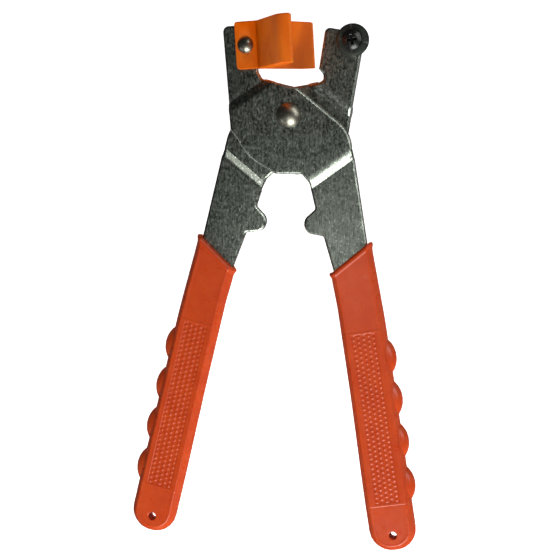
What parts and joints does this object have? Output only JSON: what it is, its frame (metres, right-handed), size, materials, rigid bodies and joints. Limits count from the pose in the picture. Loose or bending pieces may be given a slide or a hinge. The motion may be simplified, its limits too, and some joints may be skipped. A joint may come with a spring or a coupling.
{
  "type": "running pliers",
  "caption": "Hand pliers with a winged plastic breaker jaw facing a plate jaw, a scoring wheel on the jaw corner and dipped plastic grips, for scoring and snapping glass or tile.",
  "frame": {"origin": "centre of the flat tail of the pivot rivet, on the pivot axis", "axes": "+Y towards the jaws along the line that halves the open handles, +Z out of the front face along the pivot axis, +X to the right seen from the front"},
  "size_m": [0.109, 0.1969, 0.056],
  "materials": {
    "zinc_plate": "zinc plated stamped steel, satin",
    "zinc_washer": "zinc plated, satin",
    "bright_rivet": "polished nickel",
    "wheel_steel": "dark hardened steel",
    "black_screw": "black oxide",
    "orange_plastic": "moulded nylon, satin",
    "red_grip": "dipped soft vinyl, gloss"
  },
  "bodies": {
    "front": {"front_lever": "zinc_plate", "pivot_rivet": "bright_rivet", "pivot_washer": "zinc_washer", "breaker_jaw": "orange_plastic", "breaker_rivet": "bright_rivet", "breaker_rivet_washer": "zinc_washer", "right_grip": "red_grip"},
    "rear": {"rear_lever": "zinc_plate", "left_grip": "red_grip", "wheel_bush": "zinc_washer", "wheel_washer": "zinc_washer", "wheel_screw": "black_screw", "wheel_lock_washer": "zinc_washer", "wheel_nut": "zinc_washer"},
    "wheel": {"scoring_wheel": "wheel_steel"}
  },
  "joints": [
    {"name": "pivot", "type": "hinge", "parent": "front", "child": "rear", "pos_m": [0, 0, 0.00585], "axis": [0, 0, 1], "range_deg": [-10, 20]},
    {"name": "wheel_spin", "type": "hinge", "parent": "rear", "child": "wheel", "pos_m": [0.0226, 0.0283, 0.00915], "axis": [0, 0, 1], "continuous": true}
  ]
}
